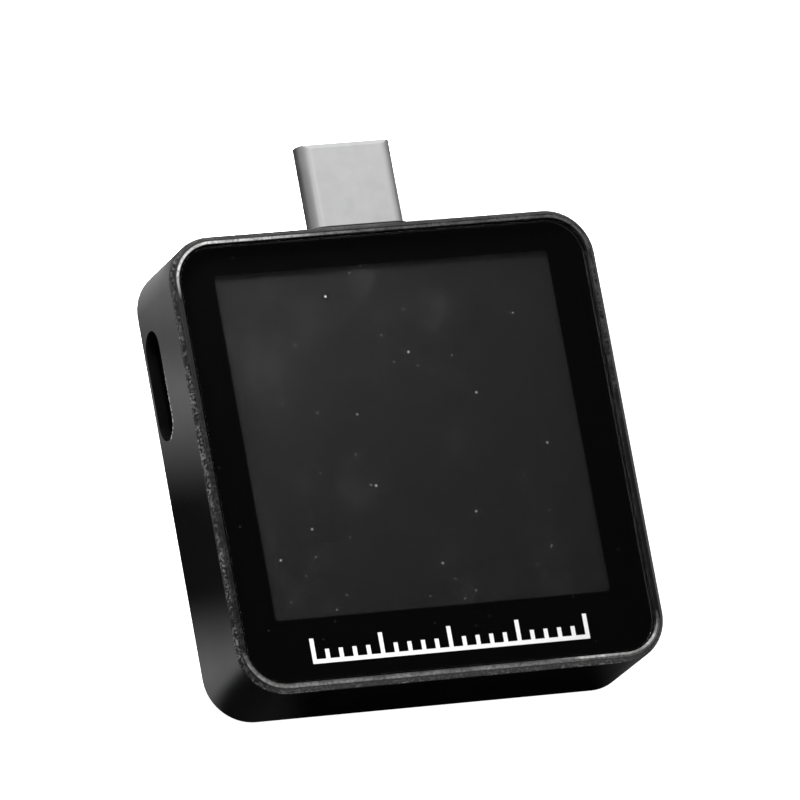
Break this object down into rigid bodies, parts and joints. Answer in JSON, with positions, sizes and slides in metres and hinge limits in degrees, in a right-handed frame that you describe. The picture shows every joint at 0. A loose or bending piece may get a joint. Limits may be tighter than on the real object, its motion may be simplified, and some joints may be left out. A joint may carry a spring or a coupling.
{
  "type": "usb power meter",
  "caption": "Small inline USB-C power meter: square colour display in a machined aluminium case, a plug on one end, receptacles in the side walls and a tilting jog key.",
  "frame": {"origin": "middle of the case's flat back face", "axes": "+X to the right and +Y out of the plug's end when the display is read, +Z out of the display"},
  "size_m": [0.0379, 0.0465, 0.0093],
  "materials": {
    "black_aluminium": "black anodised, fine bead-blasted satin",
    "screw_steel": "black oxide steel, satin",
    "bright_steel": "plain rolled steel, satin",
    "nickel_plate": "nickel plated steel, satin with fine rub marks",
    "gold_plate": "thin gold plating, semi-bright",
    "clear_glass": "clear cover glass, polished",
    "display_glass": "thin display glass, polished",
    "black_ink": "black print on the back of the glass",
    "white_ink": "white print on the back of the glass",
    "polariser_film": "neutral grey film, slightly hazy",
    "black_foam": "fine closed-cell foam and tape",
    "white_plastic": "white moulded plastic and film",
    "clear_plastic": "clear acrylic, polished",
    "amber_film": "amber polyimide film",
    "circuit_board": "green solder mask over glass cloth",
    "chip_epoxy": "moulded black epoxy",
    "ferrite": "pressed dark grey ferrite",
    "capacitor_ceramic": "fired tan ceramic",
    "resistor_body": "dark glazed thick film",
    "shunt_alloy": "rolled resistance alloy",
    "black_plastic": "black moulded plastic, finely textured",
    "ivory_plastic": "ivory acetal, smooth"
  },
  "bodies": {
    "case": {"case_frame": "black_aluminium", "back_cover": "black_aluminium", "cover_screws": "screw_steel", "front_glass": "clear_glass", "border_print": "black_ink", "scale_print": "white_ink", "glass_tape": "black_foam", "insulation_sheet": "amber_film", "display_gasket": "black_foam", "front_polariser": "polariser_film", "colour_filter_glass": "display_glass", "tft_glass": "display_glass", "rear_polariser": "polariser_film", "display_driver": "chip_epoxy", "backlight_films": "white_plastic", "light_guide": "clear_plastic", "reflector_sheet": "white_plastic", "backlight_frame": "white_plastic", "backlight_tray": "bright_steel", "backlight_leds": "white_plastic", "display_flex": "amber_film", "foam_pads": "black_foam", "main_board": "circuit_board", "board_screws": "bright_steel", "plug_shell": "nickel_plate", "plug_insulator": "black_plastic", "plug_contacts": "gold_plate", "plug_latch_springs": "nickel_plate", "plug_collar": "black_plastic", "port_shell": "screw_steel", "port_tongue": "black_plastic", "port_contacts": "gold_plate", "data_port_shell": "screw_steel", "data_port_tongue": "black_plastic", "data_port_contacts": "gold_plate", "jog_base": "black_plastic", "jog_cover": "bright_steel", "jog_dome": "bright_steel", "jog_leaf_springs": "gold_plate", "shunt_resistor": "shunt_alloy", "pass_mosfets": "chip_epoxy", "measuring_chip": "chip_epoxy", "microcontroller": "chip_epoxy", "flash_chip": "chip_epoxy", "power_delivery_chip": "chip_epoxy", "regulator_chip": "chip_epoxy", "inductor": "ferrite", "crystal": "bright_steel", "ceramic_capacitors": "capacitor_ceramic", "chip_resistors": "resistor_body"},
    "jog_slider": {"jog_carriage": "ivory_plastic"},
    "jog_tilter": {"jog_lever": "black_plastic", "jog_key": "black_plastic"}
  },
  "joints": [
    {"name": "jog_press", "type": "slide", "parent": "case", "child": "jog_slider", "axis": [-1, 0, 0], "range_m": [0, 0.00035], "stiffness_N_per_m": 600, "springref_m": -0.0004},
    {"name": "jog_tilt", "type": "hinge", "parent": "jog_slider", "child": "jog_tilter", "pos_m": [0.0136, -0.007, 0.0026], "axis": [0, 0, 1], "range_deg": [-8, 8], "stiffness_Nm_per_rad": 0.005}
  ]
}
